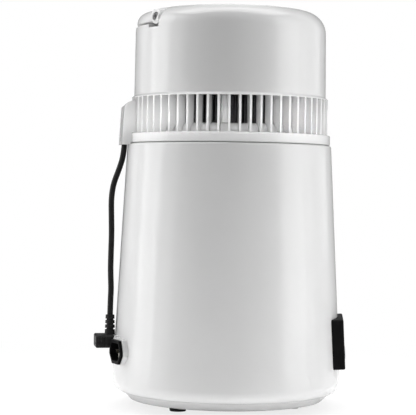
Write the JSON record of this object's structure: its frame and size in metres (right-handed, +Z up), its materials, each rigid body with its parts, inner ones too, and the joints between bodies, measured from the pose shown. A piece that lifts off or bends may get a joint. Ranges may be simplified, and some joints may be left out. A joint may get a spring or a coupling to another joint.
{
  "type": "countertop water distiller",
  "caption": "Tapered white countertop water distiller: boiling pot with a rear mains inlet and front panel, lift-off condenser head with vent fins, fan cord and flip-up handle.",
  "frame": {"origin": "on the table under the body's axis, at the centre of the three feet", "axes": "+Z up along the body's axis, -Y toward the control panel at the front, +Y toward the sockets, +X to the right of a person who faces the panel"},
  "size_m": [0.2084, 0.2284, 0.36],
  "materials": {
    "white_plastic": "satin moulded",
    "black_rubber": "matte",
    "black_pvc": "satin",
    "black_lead": "satin",
    "black_plastic": "satin",
    "window": "gloss",
    "grey_buttons": "satin",
    "stainless": "brushed",
    "steel": "zinc plated",
    "motor_steel": "plain",
    "aluminium": "mill",
    "phenolic": "matte",
    "brass": "nickel plated",
    "board": "satin",
    "switch_black": "matte",
    "silicone": "matte",
    "fan_plastic": "matte",
    "live_brown": "satin",
    "neutral_blue": "satin",
    "earth_green": "satin"
  },
  "bodies": {
    "base": {"body_housing": "white_plastic", "base_tray": "white_plastic", "feet": "black_rubber", "base_screws": "steel", "boil_chamber": "stainless", "heater_plate": "aluminium", "heater_element": "steel", "heater_clamp": "steel", "clamp_nut": "steel", "boil_thermostat": "phenolic", "thermal_cutout": "phenolic", "thermostat_screws": "steel", "mains_inlet": "black_plastic", "inlet_pins": "brass", "fan_outlet": "black_plastic", "outlet_pins": "brass", "panel_housing": "black_plastic", "panel_window": "window", "display_module": "black_plastic", "control_board": "board", "key_switches": "switch_black", "panel_screws": "steel", "live_wire": "live_brown", "neutral_wire": "neutral_blue", "earth_wire": "earth_green", "outlet_cable": "black_lead", "panel_cable": "black_lead", "fan_plug": "black_pvc", "plug_contacts": "brass", "fan_cord": "black_pvc"},
    "dome": {"dome_shell": "white_plastic", "condenser_tray": "white_plastic", "steam_cover": "stainless", "lid_seal": "silicone", "condenser_coil": "stainless", "condenser_fins": "aluminium", "fan_motor": "motor_steel", "motor_bracket": "steel", "motor_screws": "steel", "dome_screws": "steel", "rear_duct": "white_plastic", "cord_gland": "black_plastic", "fan_lead": "black_lead", "outlet_port": "white_plastic", "pivot_screws": "steel"},
    "fan": {"fan_blade": "fan_plastic", "motor_shaft": "steel", "fan_clip": "steel"},
    "handle": {"handle": "white_plastic"},
    "power_button": {"power_button": "grey_buttons"},
    "set_button": {"set_button": "grey_buttons"},
    "minus_button": {"minus_button": "grey_buttons"},
    "plus_button": {"plus_button": "grey_buttons"}
  },
  "joints": [
    {"name": "dome_lift", "type": "slide", "parent": "base", "child": "dome", "axis": [0, 0, 1], "range_m": [0, 0.06]},
    {"name": "fan_spin", "type": "hinge", "parent": "dome", "child": "fan", "pos_m": [0, 0, 0.3], "axis": [0, 0, 1], "continuous": true},
    {"name": "handle_flip", "type": "hinge", "parent": "dome", "child": "handle", "pos_m": [0.00382, 0.00382, 0.349], "axis": [0.7071, -0.7071, 0], "range_deg": [0, 90]},
    {"name": "power_press", "type": "slide", "parent": "base", "child": "power_button", "axis": [0, 0.9986, -0.0524], "range_m": [0, 0.0008], "stiffness_N_per_m": 800},
    {"name": "set_press", "type": "slide", "parent": "base", "child": "set_button", "axis": [0, 0.9986, -0.0524], "range_m": [0, 0.0008], "stiffness_N_per_m": 800},
    {"name": "minus_press", "type": "slide", "parent": "base", "child": "minus_button", "axis": [0, 0.9986, -0.0524], "range_m": [0, 0.0008], "stiffness_N_per_m": 800},
    {"name": "plus_press", "type": "slide", "parent": "base", "child": "plus_button", "axis": [0, 0.9986, -0.0524], "range_m": [0, 0.0008], "stiffness_N_per_m": 800}
  ]
}
